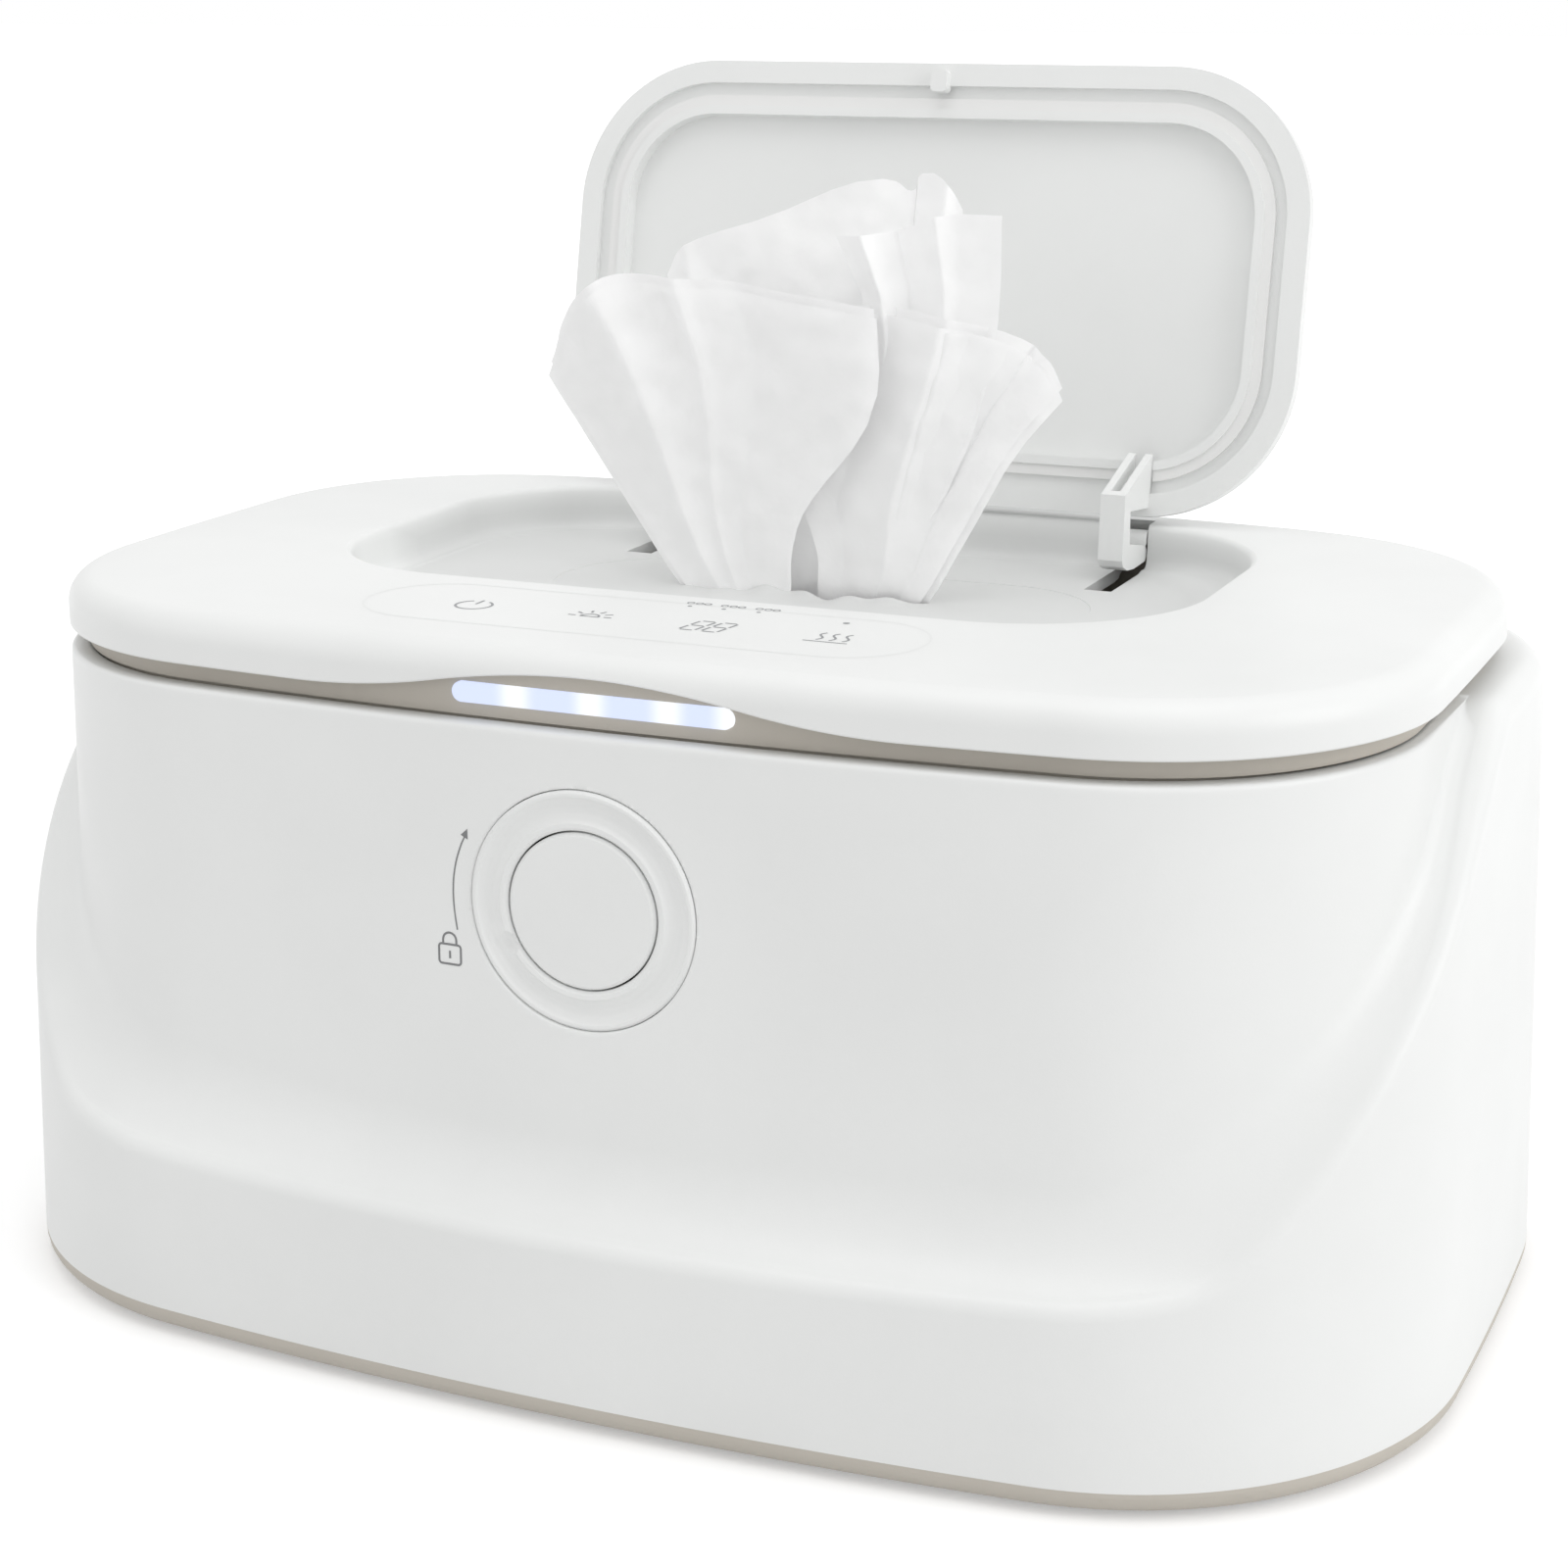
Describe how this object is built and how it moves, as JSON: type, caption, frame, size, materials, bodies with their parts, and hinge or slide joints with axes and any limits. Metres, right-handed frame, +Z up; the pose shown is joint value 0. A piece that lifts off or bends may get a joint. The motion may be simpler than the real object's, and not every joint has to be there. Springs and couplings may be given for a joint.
{
  "type": "baby wipe warmer",
  "caption": "Heated tub for baby wipes: scooped oval housing, cover with a lit front band and flip lid on gooseneck arms, lock ring with push button, USB lead.",
  "frame": {"origin": "on the table under the middle of the housing", "axes": "+X to the right seen from the front, the front with the lock ring faces -Y, +Z up"},
  "size_m": [0.249, 0.2289, 0.1945],
  "materials": {
    "white_plastic": "satin moulded ABS",
    "beige_plastic": "fine matt moulded ABS",
    "tank_plastic": "satin polypropylene",
    "inner_plastic": "plain moulded nylon",
    "light_diffuser": "milky diffuser, lit",
    "foam": "closed-cell foam",
    "silicone": "matt silicone",
    "feet_rubber": "matt",
    "steel": "zinc plated",
    "aluminium": "plain sheet",
    "film": "polyimide film with printed track",
    "board": "green solder mask",
    "cable_jacket": "smooth PVC",
    "plug_shell": "formed sheet",
    "tie": "hook and loop strap",
    "wipe": "damp nonwoven"
  },
  "bodies": {
    "housing": {"outer_shell": "white_plastic", "base_plate": "beige_plastic", "rubber_feet": "feet_rubber", "base_screws": "steel", "inner_tank": "tank_plastic", "heater_plate": "aluminium", "heater_film": "film", "insulation_pad": "foam", "temperature_sensor": "inner_plastic", "main_board": "board", "board_screws": "steel", "usb_socket": "plug_shell", "lock_carrier": "inner_plastic", "carrier_screws": "steel", "button_spring": "steel", "cover_hinge_pins": "steel", "wipe_stack": "wipe", "micro_usb_plug": "cable_jacket", "usb_cable": "cable_jacket", "usb_cable_coil": "cable_jacket", "cable_tie": "tie", "usb_a_plug": "cable_jacket"},
    "lock_ring": {"lock_ring": "white_plastic"},
    "open_button": {"push_button": "white_plastic", "latch_bolt": "inner_plastic"},
    "cover": {"top_cover": "white_plastic", "cover_frame": "beige_plastic", "light_bar": "light_diffuser", "led_board": "board", "touch_board": "board", "cover_screws": "steel", "cover_catch": "inner_plastic", "cover_seal": "silicone", "dispensing_gate": "silicone", "flip_lid_pins": "steel", "wipe_tuft": "wipe"},
    "flip_lid": {"flip_lid": "white_plastic", "lid_seal": "silicone", "lid_arms": "white_plastic"}
  },
  "joints": [
    {"name": "cover_hinge", "type": "hinge", "parent": "housing", "child": "cover", "pos_m": [0, 0.0758, 0.1083], "axis": [-1, 0, 0], "range_deg": [0, 85]},
    {"name": "flip_lid_hinge", "type": "hinge", "parent": "cover", "child": "flip_lid", "pos_m": [0, 0.0586, 0.1135], "axis": [1, 0, 0], "range_deg": [0, 102], "deforming": ["wipe_tuft"]},
    {"name": "lock_ring_turn", "type": "hinge", "parent": "housing", "child": "lock_ring", "pos_m": [0, -0.07256, 0.07835], "axis": [0, 1, 0], "range_deg": [0, 55]},
    {"name": "open_button_press", "type": "slide", "parent": "housing", "child": "open_button", "axis": [0, 1, 0], "range_m": [0, 0.0025], "stiffness_N_per_m": 800, "springref_m": -0.001, "deforming": ["button_spring"]}
  ]
}
